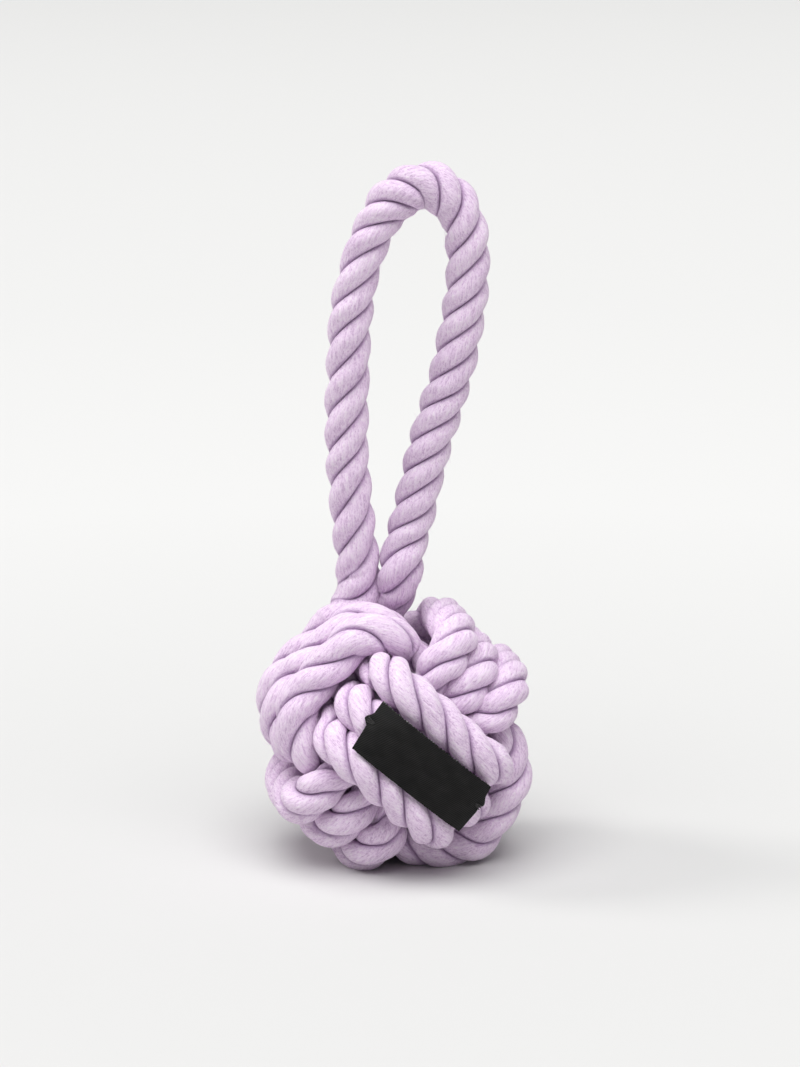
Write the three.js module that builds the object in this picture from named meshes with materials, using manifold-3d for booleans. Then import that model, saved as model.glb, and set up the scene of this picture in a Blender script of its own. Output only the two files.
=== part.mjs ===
import * as THREE from "three";
import { mergeVertices } from "three/addons/utils/BufferGeometryUtils.js";
import Module from "manifold-3d";

// A cotton rope tied into a ball knot, three turns in each of three crossing bands, with a standing loop.
// Millimetres, X to the right, Y away from the label, Z up. Every height below is counted from the ball's
// centre until the last lines set the part on the floor.

// Rope
const ropeDiameter = 12.8; // where nothing presses on it
const squeezedDiameter = 9.3; // where another band crosses over it
const exitDiameter = 11.6; // where the loop's legs leave the ball and press on each other
const whippedDiameter = 8; // the bound end inside the ball
const ropeGap = 0.68; // between neighbouring turns, and between a band and the one that it crosses
const faceGap = 0.3; // between stretches of rope that follow on from each other, and around trim
const ropeSides = 10;
const loopSides = 12;

// Ball knot
const frontTurn = 10; // degrees that the front face is turned to the right
const ropeSlope = 43.2; // degrees that the front turns run down to the right
const faceCrown = 0.6; // how far the middle of a face stands out
const middleCrown = 0.6; // how far a band's middle turn stands out beyond its neighbours
const shiftReach = 15; // half of the covered stretch in which a band moves on to its next turn
const shiftSpread = 0.3; // how much further apart the two moving turns are there
const arcSteps = 5;
const faceSteps = 3;
const passSteps = 6;
const footDepth = ropeDiameter / 10; // flat that the ball stands on
const lowerBulge = 6; // how far the dome band's turns have spread to the right, low on the right side
const lowerBulgeAt = [34, -32]; // x and z of the middle of that
const lowerBulgeSpread = [12, 11];
const upperShift = 2; // how far the side band's turns sit to the right, on the upper right face
const upperShiftSpan = [0, 32]; // from the centre towards that face
const frontStretch = 2.2; // how much further the front band's turns run at their lower right end
const frontStretchSpan = [4, 24]; // from the centre towards that end
const frontShowing = [22, 32]; // from the centre towards the front, where the turns come out to show

// Loop, as the points that the rope's middle passes through, from the left neck to the right neck
const loopRoute = [
  [-11.1, 10.8, 46],
  [-11.8, 10.5, 52],
  [-12.6, 10.2, 60],
  [-13.3, 10.0, 69],
  [-14.1, 9.8, 78],
  [-14.5, 9.5, 88],
  [-14.6, 9.3, 97],
  [-14.2, 9.1, 107],
  [-13.9, 8.9, 116],
  [-13.4, 8.7, 125],
  [-12.1, 8.5, 134],
  [-9.9, 8.3, 143],
  [-6.0, 8.1, 153],
  [0.2, 8.0, 162.5],
  [9.3, 8.0, 166.7],
  [17.6, 8.1, 161.6],
  [21.3, 8.2, 152.5],
  [22.0, 8.4, 143],
  [21.6, 8.6, 134],
  [20.3, 8.8, 124.5],
  [18.6, 9.1, 115.3],
  [16.3, 9.4, 106],
  [13.6, 9.8, 97],
  [10.9, 10.2, 87.6],
  [8.7, 10.7, 78.4],
  [6.6, 11.2, 69],
  [4.4, 11.7, 60],
  [2.8, 12.1, 52],
  [1.8, 12.4, 46],
];
// The right leg's end inside the ball, from the right neck down to the core
const tailRoute = [
  [1.8, 12.4, 46],
  [0.9, 12.7, 41],
  [-1.0, 12.8, 35.5],
  [-1.7, 12.0, 30],
  [-0.2, 10.8, 25],
  [-0.2, 8.9, 20.4],
  [-0.1, 7.0, 15.8],
];
const neckTop = 64;
const bendFoot = 141; // height at which the two legs give way to the bend at the top
const legThinBelow = 40; // heights between which a leg grows from its exit's diameter to the full one
const legFullAbove = 50;
const tailSqueezedBelow = 33; // heights between which the right leg's end is squeezed inside the ball
const tailFreeAbove = 41;
const tailBoundBelow = 24; // heights between which that end is drawn in by its whipping
const tailUnboundAbove = 31;
const rootReachLeg = 10; // how far the left leg's root keeps straight on below the leg
const rootReachBand = 5; // and before it joins its band
const rootSteps = 5;
const loopStep = 6;
const tailStep = 4;

// Core and trim
const coreGap = 0.6;
const whippingLength = 5;
const whippingThickness = 0.6;
const labelLength = 43;
const labelWidth = 16.4;
const labelThickness = 0.9;
const labelDroop = 0.8; // how far the label's long edges hang below its middle
const labelShift = 0.8; // sideways from the middle of the front band
const labelSteps = 20;
const labelStrips = 6;
const crestSteps = 16;
const stitchWidth = 2.6;
const stitchReach = 1.6; // how far a stitch runs on to the label, and on to the rope beyond it
const stitchThickness = 0.7;

// Sizes that follow from these
const ropeRadius = ropeDiameter / 2;
const squeezedRadius = squeezedDiameter / 2;
const innerPitch = squeezedDiameter + ropeGap;
const outerPitch = ropeDiameter + ropeGap;
const cornerRadius = ropeRadius + squeezedRadius + ropeGap;
const passReach = innerPitch + cornerRadius; // from the ball's centre to a covered turn
const faceReach = passReach + cornerRadius; // from the ball's centre to a turn that shows
const squeezeStart = passReach + 3.4;
const squeezeEnd = outerPitch + 2.4;
const coreRadius = passReach - squeezedRadius - coreGap;

const degrees = Math.PI / 180;
const slope = ropeSlope * degrees;
const turn = frontTurn * degrees;
const axisA = new THREE.Vector3(
  Math.cos(slope) * Math.cos(turn),
  Math.cos(slope) * Math.sin(turn),
  -Math.sin(slope),
);
const axisB = new THREE.Vector3(
  Math.sin(slope) * Math.cos(turn),
  Math.sin(slope) * Math.sin(turn),
  Math.cos(slope),
);
const axisC = new THREE.Vector3().crossVectors(axisA, axisB);

// Each band shows on the two faces along its outer axis and passes below another band along its inner axis.
// A soft ball isn't regular: settle moves a band's points to where its rope has come to lie.
const smooth = (from, to, value) => THREE.MathUtils.smoothstep(value, from, to);
const bell = (value, middle, spread) => Math.exp(-((value - middle) ** 2) / (2 * spread ** 2));
const frontBand = {
  outer: axisC,
  inner: axisA,
  across: axisB,
  settle(p) {
    const showing = smooth(...frontShowing, p.dot(axisC));
    p.addScaledVector(axisA, frontStretch * showing * smooth(...frontStretchSpan, p.dot(axisA)));
  },
};
const domeBand = {
  outer: axisA,
  inner: axisB,
  across: axisC,
  settle(p) {
    const low = bell(p.z, lowerBulgeAt[1], lowerBulgeSpread[1]);
    p.x += lowerBulge * low * bell(p.x, lowerBulgeAt[0], lowerBulgeSpread[0]);
  },
};
const sideBand = {
  outer: axisB,
  inner: axisC,
  across: axisA,
  settle(p) {
    p.x += upperShift * smooth(...upperShiftSpan, p.dot(axisB));
  },
};

// A rope's diameter in a band, from how far out along the band's outer axis it is.
function diameterAt(outward) {
  const share = smooth(squeezeEnd, squeezeStart, Math.abs(outward));
  return squeezedDiameter + (ropeDiameter - squeezedDiameter) * share;
}

// One turn as flat points [outward, inward], from the middle of the covered stretch round to it again.
function turnOutline() {
  const points = [];
  const line = (from, to, steps) => {
    for (let i = 0; i < steps; i++) {
      const t = i / steps;
      points.push([from[0] + (to[0] - from[0]) * t, from[1] + (to[1] - from[1]) * t]);
    }
  };
  const arc = (x, y, start) => {
    for (let i = 0; i < arcSteps; i++) {
      const angle = (start + (90 * i) / arcSteps) * degrees;
      points.push([x + cornerRadius * Math.cos(angle), y + cornerRadius * Math.sin(angle)]);
    }
  };
  line([0, passReach], [-passReach, passReach], passSteps / 2);
  arc(-passReach, innerPitch, 90);
  line([-faceReach, innerPitch], [-faceReach, -innerPitch], faceSteps);
  arc(-passReach, -innerPitch, 180);
  line([-passReach, -passReach], [passReach, -passReach], passSteps);
  arc(passReach, -innerPitch, 270);
  line([faceReach, -innerPitch], [faceReach, innerPitch], faceSteps);
  arc(passReach, innerPitch, 0);
  line([passReach, passReach], [0, passReach], passSteps / 2);
  return points;
}

// A point of a band in the part's frame. Turn -1, 0 or 1 is the place across the band.
function bandPoint(band, place, outward, inward) {
  const crownShare = Math.cos((Math.PI / 2) * Math.min(1, Math.abs(inward) / passReach)) ** 2;
  const showing = Math.abs(outward) > passReach ? crownShare : 0;
  const crown = (faceCrown + middleCrown * (1 - place * place)) * showing;
  const diameter = diameterAt(outward);
  const moved = place - Math.floor(place);
  const spread = 1 + shiftSpread * 4 * moved * (1 - moved);
  const point = new THREE.Vector3()
    .addScaledVector(band.outer, outward + Math.sign(outward) * crown)
    .addScaledVector(band.inner, inward)
    .addScaledVector(band.across, place * (diameter + ropeGap) * spread);
  band.settle(point);
  return { point, radius: diameter / 2 };
}

// All three turns of a band as one run of stations. The rope moves on one place per turn, below another band.
function bandStations(band) {
  const outline = turnOutline();
  const stations = [];
  for (let round = 0; round < 3; round++) {
    outline.forEach(([outward, inward], index) => {
      const covered = inward > passReach - 0.01 && Math.abs(outward) < passReach;
      const leaving = index < outline.length / 2;
      let place = round - 1;
      if (covered) {
        const share = smooth(-shiftReach, shiftReach, -outward);
        place += leaving ? share - 1 : share;
      }
      const beforeStart = round === 0 && covered && leaving && outward > -shiftReach;
      const afterEnd = round === 2 && covered && !leaving && outward < shiftReach;
      if (!beforeStart && !afterEnd) stations.push(bandPoint(band, place, outward, inward));
    });
  }
  return stations;
}

// Stations at even steps along a smooth line through chosen points.
function routeStations(route, step, radiusAt) {
  const curve = new THREE.CatmullRomCurve3(route.map((p) => new THREE.Vector3(...p)));
  const steps = Math.max(2, Math.round(curve.getLength() / step));
  return curve.getSpacedPoints(steps).map((point, i) => ({
    point,
    radius: radiusAt(point),
    direction: curve.getTangentAt(i / steps),
  }));
}

const legRadius = (point) =>
  THREE.MathUtils.lerp(exitDiameter, ropeDiameter, smooth(legThinBelow, legFullAbove, point.z)) / 2;

// A closed round tube through the stations, with flat ends square to it.
function tube(stations, sides) {
  const last = stations.length - 1;
  const positions = [];
  const faces = [];
  const direction = stations.map((station, i) => {
    if (station.direction) return station.direction;
    const ahead = stations[Math.min(i + 1, last)].point;
    return ahead.clone().sub(stations[Math.max(i - 1, 0)].point).normalize();
  });
  const side = new THREE.Vector3(0.31, 0.82, 0.47).cross(direction[0]).normalize();
  stations.forEach(({ point, radius }, i) => {
    side.addScaledVector(direction[i], -side.dot(direction[i])).normalize();
    const other = new THREE.Vector3().crossVectors(direction[i], side);
    for (let k = 0; k < sides; k++) {
      const angle = (2 * Math.PI * k) / sides;
      const corner = point
        .clone()
        .addScaledVector(side, radius * Math.cos(angle))
        .addScaledVector(other, radius * Math.sin(angle));
      positions.push(corner.x, corner.y, corner.z);
    }
  });
  for (let i = 0; i < last; i++) {
    for (let k = 0; k < sides; k++) {
      const next = (k + 1) % sides;
      const low = i * sides;
      const high = low + sides;
      faces.push(low + k, low + next, high + next, low + k, high + next, high + k);
    }
  }
  for (let k = 1; k < sides - 1; k++) {
    faces.push(0, k + 1, k);
    faces.push(last * sides, last * sides + k, last * sides + k + 1);
  }
  return new THREE.BufferGeometry()
    .setAttribute("position", new THREE.Float32BufferAttribute(positions, 3))
    .setIndex(faces);
}

// The least distance between the surfaces of stretches of a rope that aren't neighbours along it.
function leastGap(stations) {
  const dots = [];
  let along = 0;
  for (let i = 0; i + 1 < stations.length; i++) {
    const length = stations[i].point.distanceTo(stations[i + 1].point);
    for (let k = 0; k < 4; k++) {
      const point = stations[i].point.clone().lerp(stations[i + 1].point, k / 4);
      const radius = THREE.MathUtils.lerp(stations[i].radius, stations[i + 1].radius, k / 4);
      dots.push({ point, radius, along: along + (length * k) / 4 });
    }
    along += length;
  }
  let least = Infinity;
  dots.forEach((p, i) => {
    for (const q of dots.slice(i + 1)) {
      if (q.along - p.along < 4 * ropeDiameter) continue;
      least = Math.min(least, p.point.distanceTo(q.point) - p.radius - q.radius);
    }
  });
  return least;
}

// The line on which the label lies: the crest of the front band's middle turn, from upper left down.
const crestOut = (curve, share) =>
  new THREE.Vector3().crossVectors(curve.getTangentAt(share), frontBand.across);
const middleTurn = new THREE.CatmullRomCurve3(
  turnOutline()
    .filter(([outward]) => outward > passReach)
    .map(([outward, inward]) => bandPoint(frontBand, 0, outward, inward).point),
);
const crest = new THREE.CatmullRomCurve3(
  middleTurn.getSpacedPoints(crestSteps).map((point, i) => {
    const out = crestOut(middleTurn, i / crestSteps);
    return point.addScaledVector(out, ropeRadius + faceGap);
  }),
);
const crestLength = crest.getLength();

// Along and sideways are counted from the label's middle, height from the crest.
function labelPoint(along, sideways, height) {
  const share = 0.5 + along / crestLength;
  const droop = labelDroop * (sideways / (labelWidth / 2)) ** 2;
  return crest
    .getPointAt(share)
    .addScaledVector(crestOut(crest, share), height - droop)
    .addScaledVector(frontBand.across, sideways + labelShift);
}

// A closed slab over a grid of points, from a lower and an upper surface.
function slab(columns, rows, lower, upper) {
  const positions = [];
  const faces = [];
  const width = rows + 1;
  const layer = (columns + 1) * width;
  for (const surface of [lower, upper]) {
    for (let i = 0; i <= columns; i++) {
      for (let j = 0; j <= rows; j++) positions.push(...surface(i / columns, j / rows).toArray());
    }
  }
  const quad = (p, q, r, s) => faces.push(p, q, r, p, r, s);
  for (let i = 0; i < columns; i++) {
    for (let j = 0; j < rows; j++) {
      const p = i * width + j;
      quad(p, p + 1, p + width + 1, p + width);
      quad(layer + p, layer + p + width, layer + p + width + 1, layer + p + 1);
    }
  }
  for (let i = 0; i < columns; i++) {
    const near = i * width;
    const far = near + rows;
    quad(near, near + width, layer + near + width, layer + near);
    quad(far + width, far, layer + far, layer + far + width);
  }
  for (let j = 0; j < rows; j++) {
    const start = j;
    const stop = columns * width + j;
    quad(start + 1, start, layer + start, layer + start + 1);
    quad(stop, stop + 1, layer + stop + 1, layer + stop);
  }
  return new THREE.BufferGeometry()
    .setAttribute("position", new THREE.Float32BufferAttribute(positions, 3))
    .setIndex(faces);
}

const wasm = await Module();
wasm.setup();

function solidOf(geometry) {
  const plain = geometry.clone();
  plain.deleteAttribute("normal");
  plain.deleteAttribute("uv");
  const merged = mergeVertices(plain, 1e-4);
  return new wasm.Manifold(
    new wasm.Mesh({
      numProp: 3,
      vertProperties: merged.attributes.position.array,
      triVerts: new Uint32Array(merged.index.array),
    }),
  );
}

function geometryOf(solid) {
  const mesh = solid.getMesh();
  return new THREE.BufferGeometry()
    .setAttribute("position", new THREE.BufferAttribute(mesh.vertProperties, 3))
    .setIndex(new THREE.BufferAttribute(mesh.triVerts, 1));
}

const group = new THREE.Group();
group.name = "rope_ball_with_loop";

function add(name, geometry, color, roughness) {
  const mesh = new THREE.Mesh(
    geometry,
    new THREE.MeshStandardMaterial({ color, roughness, metalness: 0 }),
  );
  mesh.name = name;
  group.add(mesh);
}

// The bands. The dome band's first turn comes down from the loop's left leg.
const frontStations = bandStations(frontBand);
const sideStations = bandStations(sideBand);
const domeStations = bandStations(domeBand);
const firstShowing = domeStations.findIndex(
  ({ point }) => point.dot(axisA) < -passReach && point.dot(axisB) < innerPitch + 0.01,
);
const entry = domeStations[firstShowing].point;
const loopStations = routeStations(loopRoute, loopStep, legRadius);
const loopStart = loopStations[0].point;
const downLeg = loopStations[0].direction.clone().negate();
const root = new THREE.CubicBezierCurve3(
  loopStart.clone().addScaledVector(downLeg, faceGap),
  loopStart.clone().addScaledVector(downLeg, rootReachLeg),
  entry.clone().addScaledVector(axisB, rootReachBand),
  entry,
);
const rootStations = root.getSpacedPoints(rootSteps).map((point) => ({ point, radius: legRadius(point) }));
rootStations[0].direction = downLeg;
rootStations.pop();
const domeRun = [...rootStations, ...domeStations.slice(firstShowing)];

const bands = [
  ["front_band", frontStations],
  ["dome_band", domeRun],
  ["side_band", sideStations],
];
const lowest = Math.min(
  ...bands.flatMap(([, stations]) => stations.map(({ point, radius }) => point.z - radius)),
);
const floor = lowest + footDepth;
const groundSide = 4 * faceReach;
const groundSolid = wasm.Manifold.cube([groundSide, groundSide, groundSide], true).translate([
  0,
  0,
  floor - groundSide / 2,
]);
for (const [name, stations] of bands) {
  console.log(`${name}: least gap of the winding to itself ${leastGap(stations).toFixed(2)} mm`);
  const cut = solidOf(tube(stations, ropeSides)).subtract(groundSolid);
  add(name, geometryOf(cut), 0xd3bad6, 0.9);
}

// The loop and the end that goes back into the ball.
const firstAbove = (height) => loopStations.findIndex(({ point }) => point.z > height);
const lastAbove = (height) => loopStations.findLastIndex(({ point }) => point.z > height);
const marks = [0, firstAbove(neckTop), firstAbove(bendFoot), lastAbove(bendFoot), lastAbove(neckTop)];
marks.push(loopStations.length - 1);
const stretchNames = ["neck_left", "loop_left_leg", "loop_top_bend", "loop_right_leg", "neck_right"];
stretchNames.forEach((name, i) => {
  const stretch = loopStations.slice(marks[i], marks[i + 1] + 1).map((s) => ({ ...s }));
  const finish = stretch[stretch.length - 1];
  finish.point = finish.point.clone().addScaledVector(finish.direction, -faceGap);
  add(name, tube(stretch, loopSides), 0xd3bad6, 0.9);
});

const core = new THREE.SphereGeometry(coreRadius, 28, 18);
core.deleteAttribute("normal");
core.deleteAttribute("uv");
add("core", mergeVertices(core, 1e-3), 0xcfc3d0, 0.95);

const tailRadius = (point) => {
  const free = smooth(tailSqueezedBelow, tailFreeAbove, point.z);
  const squeezed = THREE.MathUtils.lerp(squeezedRadius, exitDiameter / 2, free);
  const unbound = smooth(tailBoundBelow, tailUnboundAbove, point.z);
  return THREE.MathUtils.lerp(whippedDiameter / 2, squeezed, unbound);
};
const tailStations = routeStations(tailRoute, tailStep, tailRadius);
tailStations[0].direction = loopStations[loopStations.length - 1].direction;
add("loop_tail", tube(tailStations, ropeSides), 0xd3bad6, 0.9);

const tailEnd = tailStations[tailStations.length - 1].point;
const tailBefore = tailStations[tailStations.length - 2].point;
const whippingAxis = new THREE.Vector3().subVectors(tailBefore, tailEnd).normalize();
const bore = whippedDiameter / 2 + faceGap;
const whipping = new THREE.LatheGeometry(
  [
    new THREE.Vector2(bore, 0),
    new THREE.Vector2(bore + whippingThickness, 0),
    new THREE.Vector2(bore + whippingThickness, whippingLength),
    new THREE.Vector2(bore, whippingLength),
    new THREE.Vector2(bore, 0),
  ],
  20,
);
whipping.applyQuaternion(
  new THREE.Quaternion().setFromUnitVectors(new THREE.Vector3(0, 1, 0), whippingAxis),
);
whipping.translate(...tailEnd.clone().addScaledVector(whippingAxis, faceGap).toArray());
add("tail_whipping", geometryOf(solidOf(whipping)), 0xe4dde2, 0.8);

// The label and its two stitches.
const labelAlong = (share) => (share - 0.5) * labelLength;
const labelAcross = (share) => (share - 0.5) * labelWidth;
const labelFace = (height) => (s, t) => labelPoint(labelAlong(s), labelAcross(t), height);
add(
  "label",
  slab(labelSteps, labelStrips, labelFace(0), labelFace(labelThickness)),
  0x1d1c1e,
  0.55,
);
for (const [name, sign] of [
  ["stitch_upper", -1],
  ["stitch_lower", 1],
]) {
  const at = (share) => sign * (labelLength / 2) + (share * 2 - 1) * stitchReach;
  const across = (share) => (share - 0.5) * stitchWidth;
  const seat = labelThickness + faceGap;
  const face = (height) => (s, t) => labelPoint(at(s), across(t), height);
  add(name, slab(4, 2, face(seat), face(seat + stitchThickness)), 0x161517, 0.6);
}

// The part stands on its flat foot, with the middle of its box above the origin.
const box = new THREE.Box3().setFromObject(group);
const middle = box.getCenter(new THREE.Vector3());
const placing = new THREE.Vector3(-middle.x, -middle.y, -floor);
for (const mesh of group.children) {
  mesh.geometry.translate(placing.x, placing.y, placing.z);
  mesh.geometry.computeVertexNormals();
}
console.log(`ball centre at ${placing.toArray().map((v) => v.toFixed(3)).join(", ")} mm`);
console.log(`covered turn ${passReach.toFixed(2)}, showing turn ${faceReach.toFixed(2)} mm from the centre`);

export default group;
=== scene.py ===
import math
import random

import bpy
import numpy as np
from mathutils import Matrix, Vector


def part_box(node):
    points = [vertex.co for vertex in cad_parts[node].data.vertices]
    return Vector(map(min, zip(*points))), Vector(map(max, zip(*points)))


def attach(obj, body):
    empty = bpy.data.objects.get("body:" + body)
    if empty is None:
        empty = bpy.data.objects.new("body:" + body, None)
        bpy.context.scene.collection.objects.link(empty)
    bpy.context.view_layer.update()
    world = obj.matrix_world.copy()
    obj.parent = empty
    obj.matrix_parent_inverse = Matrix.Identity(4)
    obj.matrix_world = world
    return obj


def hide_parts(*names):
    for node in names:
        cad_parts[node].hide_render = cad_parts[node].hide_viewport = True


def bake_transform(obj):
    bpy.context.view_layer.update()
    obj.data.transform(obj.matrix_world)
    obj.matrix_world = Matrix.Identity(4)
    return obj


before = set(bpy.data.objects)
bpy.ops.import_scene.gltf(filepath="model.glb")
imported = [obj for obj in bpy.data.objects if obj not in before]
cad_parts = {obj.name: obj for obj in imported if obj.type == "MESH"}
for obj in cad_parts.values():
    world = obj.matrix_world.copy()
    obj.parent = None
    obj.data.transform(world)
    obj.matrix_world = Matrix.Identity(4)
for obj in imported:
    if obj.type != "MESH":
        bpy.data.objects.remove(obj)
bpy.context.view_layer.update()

# A cotton rope ball knot with a standing loop and a tacked cloth label. Lengths are in millimetres from the
# ball's centre, as in the part's source, and become metres in the part's frame in metres() and new_piece().
# A SPAN is where a change begins and where it is complete. A BELL is the middle and spread of a bell curve.
core_low, core_high = (np.array(corner) * 1000 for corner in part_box("core"))
BALL = (core_low + core_high) / 2

# The rope's bands in the ball
ROPE = 12.8
SQUEEZED = 9.3  # where another band covers it
WHIPPED = 8.0
ROPE_GAP = 0.68
FRONT_TURN = math.radians(10)
ROPE_SLOPE = math.radians(43.2)
FACE_CROWN = 0.6
MIDDLE_CROWN = 0.6
SHIFT_REACH = 15
SHIFT_SPREAD = 0.3
LOWER_BULGE, LOWER_BULGE_X_BELL, LOWER_BULGE_Z_BELL = 6, (34, 12), (-32, 11)
UPPER_SHIFT, UPPER_SHIFT_SPAN = 2, (0, 32)
FRONT_STRETCH, FRONT_STRETCH_SPAN = 2.2, (4, 24)
FRONT_SHOWING_SPAN = (22, 32)
INNER_PITCH = SQUEEZED + ROPE_GAP
CORNER = ROPE / 2 + SQUEEZED / 2 + ROPE_GAP
PASS_REACH = INNER_PITCH + CORNER
FACE_REACH = PASS_REACH + CORNER
SQUEEZE_INSIDE, SQUEEZE_OUTSIDE = 2.4, 3.4
SQUEEZE_SPAN = (ROPE + ROPE_GAP + SQUEEZE_INSIDE, PASS_REACH + SQUEEZE_OUTSIDE)
CORE_GAP = 0.6
CORE_RADIUS = PASS_REACH - SQUEEZED / 2 - CORE_GAP
EDGE = 0.01  # tolerance at the ends of a turn's straight stretches

# The smaller shifts of single turns, in crowd(): how far, and where
TURN_SPREAD = 0.35
FACE_SPAN, LOWER_FACE_SPAN = (10, 28), (-10, -28)
FRONT_LOW_ACROSS = 1.8
FRONT_LOW_ALONG, FRONT_LOW_SPAN = 2.6, (4, -18)
FRONT_MIDDLE_ALONG, FRONT_MIDDLE_SPAN = 3.2, (4, 22)
DOME_FACE_SPAN = (-10, -25)
DOME_HIGH_RIGHT, DOME_HIGH_BELL = 3.4, (-6, 13)
DOME_FOOT_RIGHT, DOME_FOOT_SPAN, DOME_FOOT_X_SPAN = 3.5, (-24, -34), (5, 25)
DOME_EDGE_RIGHT, DOME_EDGE_X_SPAN = 2.0, (15, 35)
DOME_EDGE_OUT_BELL, DOME_EDGE_IN_BELL = (-33, 6), (-5, 8)
DOME_SAG, DOME_SAG_SPAN = 2.6, (-8, -22)
DOME_SHOULDER_RIGHT, DOME_SHOULDER_BELL, DOME_SHOULDER_X_SPAN = 1.8, (30, 7), (-10, -25)
DOME_ROOT_DIP, DOME_ROOT_X_BELL, DOME_ROOT_SPAN = 1.6, (-14, 8), (28, 36)
SIDE_LOW_PRESS, SIDE_MIDDLE_PRESS = 3.2, 1.6
PRESS_RIGHT, PRESS_DOWN = 0.3, 0.7
SIDE_LOW_SLIDE, SIDE_MIDDLE_SINK, SIDE_HIGH_SLIDE = 1.5, 2.4, 2.5

# The loop's legs and bend, and the rope's end inside the ball
LOOP_ROUTE = [
    (-11.1, 10.8, 46), (-11.8, 10.5, 52), (-12.6, 10.2, 60), (-13.3, 10.0, 69), (-14.1, 9.8, 78),
    (-14.5, 9.5, 88), (-14.6, 9.3, 97), (-14.2, 9.1, 107), (-13.9, 8.9, 116), (-13.4, 8.7, 125),
    (-12.1, 8.5, 134), (-9.9, 8.3, 143), (-6.0, 8.1, 153), (0.2, 8.0, 162.5), (9.3, 8.0, 166.7),
    (17.6, 8.1, 161.6), (21.3, 8.2, 152.5), (22.0, 8.4, 143), (21.6, 8.6, 134), (20.3, 8.8, 124.5),
    (18.6, 9.1, 115.3), (16.3, 9.4, 106), (13.6, 9.8, 97), (10.9, 10.2, 87.6), (8.7, 10.7, 78.4),
    (6.6, 11.2, 69), (4.4, 11.7, 60), (2.8, 12.1, 52), (1.8, 12.4, 46),
]
TAIL_ROUTE = [
    (1.8, 12.4, 46), (0.9, 12.7, 41), (-1.0, 12.8, 35.5), (-1.7, 12.0, 30), (-0.2, 10.8, 25),
    (-0.2, 8.9, 20.4), (-0.1, 7.0, 15.8),
]
LEG_SIDE = -4  # a point with a smaller x is on the left leg
NECK_BELL = (48, 6)  # heights at which the right leg crosses in front of the left one
LEFT_IN, RIGHT_IN = 0.2, 0.4
LEFT_BACK, RIGHT_FORWARD = 2.0, 3.0
BEND_SINK, BEND_SINK_SPAN = 0.4, (156, 165)
ROOT_REACH_LEG = 10
ROOT_REACH_BAND = 5
ROOT_POINTS = 60
LEG_SLACK, LEG_SLACK_BELL, LEG_SLACK_X_SPAN = 0.05, (143, 9), (4, -4)
BEND_SWELL, BEND_SWELL_SPAN = 0.08, (156, 164)
NECK_SWELL, NECK_SWELL_SPAN = 0.05, (58, 50)
TAIL_FULL_SPAN = (33, 44)
TAIL_WHIPPED_SPAN = (24, 31)
SEAM_HEIGHT = 57  # where the ball's ends of the legs meet the loop's piece

# How the rope is laid
CREST = 1.07  # a strand's crest against the plain round rope
LEG_ROUND, BALL_ROUND = 0.64, 0.605  # a strand's own radius as a share of the crest
BALL_LAY, SIDE_LAY = 30.68, 30.88  # length of one turn of a strand
DOME_LAY, DOME_LAY_SPAN = 39, (-10, -26)  # where tying has opened the lay, on the ball's upper left
LEFT_LAY, RIGHT_LAY = 32.5, 29.5  # in the loop's legs
BEND_LAY, BEND_LAY_SPAN = 23.6, (146, 160)
LEGS_START, FRONT_START, SIDE_START = 2.31, 0.42, 1.53  # the first ring's turn, in radians
LEGS_SEED, FRONT_SEED, SIDE_SEED = 1, 2, 3
FINE_STEP, COARSE_STEP = 0.75, 1.6
FINE_SPAN = (PASS_REACH - 8, PASS_REACH - 3)
PHASE_WAVES = ((0.05, 23), (0.05, 41))  # size and length of each swing
THICK_WAVES = ((0.012, 9.5), (0.016, 17), (0.012, 33))
HALF_STRAND = math.pi / 3  # half of a strand's share of the round
CREASE_DEPTH, CREASE_FROM = 0.13, math.radians(54)
THICK_FADE_SPAN, GROOVE_SPAN = (0.6, 1.0), (0.55, 1.0)  # shares of HALF_STRAND
INNER_FLAT, INNER_FLAT_SPAN, FLAT_RADIUS = 0.85, (0.15, 0.42), 0.97  # strands pressed flat inside a bend
STRAND_OFFSET, ROPE_OFFSET = 61, 400  # keep the surface coordinates of strands and ropes apart

# Loose fibres on the rope; a pair is a range to draw from
HAIRS_PER_RING = 3.0
HAIR_STEP_LIMIT = FINE_STEP * 1.4  # covered rope is coarser and has none
HAIR_GROOVE_LIMIT, HAIR_FLOOR_LIMIT = 0.6, 1.5
HAIR_LEAN, HAIR_RISE, HAIR_STRAY = (0.5, 1.0), (0.1, 0.75), 0.35
HAIR_CURL, CURL_STRAY = (-0.5, 0.1), 0.3
HAIR_LENGTH, HAIR_RADIUS = (0.8, 2.6), (0.03, 0.06)
LONG_HAIRS, LONG_STRAY, LONG_CURL = 0.08, 0.3, -0.06
LONG_LENGTH, LONG_RADIUS = (2.5, 6), (0.045, 0.07)
HAIR_SHARES = np.array([0, 0.35, 0.7, 1.0])
HAIR_ROOT, HAIR_TAPER, HAIR_SIDES = 0.15, 0.7, 3

# The label and its tacks
LABEL_LENGTH, LABEL_WIDTH, LABEL_THICK = 44, 16.4, 0.45
LABEL_LIFT = 0.1  # of its underside off the turn's crest
LABEL_DROOP = 0.8
LABEL_SLIDE = -1.0  # along the turn
LABEL_TURN, LABEL_SKEW = 0.047, 0.17  # how far askew it lies, as rise over run
LABEL_COLUMNS, LABEL_ROWS = 132, 48
TOP_TEETH, LOW_TEETH, TEETH_SPAN = 0.16, 0.07, (0.46, 0.5)
LEFT_TAB, LEFT_TAB_SPAN = (-0.4, 1.2, 4.3, 1.7), (-0.42, -0.5)  # low, peak and high across it, and reach
RIGHT_TAB, RIGHT_TAB_SPAN = (1.2, 2.6, 5.2, 1.2), (0.45, 0.5)
TACK_AT, TACK_INSET = 1.4, 1.2  # up from the label's middle, and in from its end
DENT, DENT_WIDTH = 0.22, 1.2
RIM, RIM_AT = 0.14, 2.2
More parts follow.
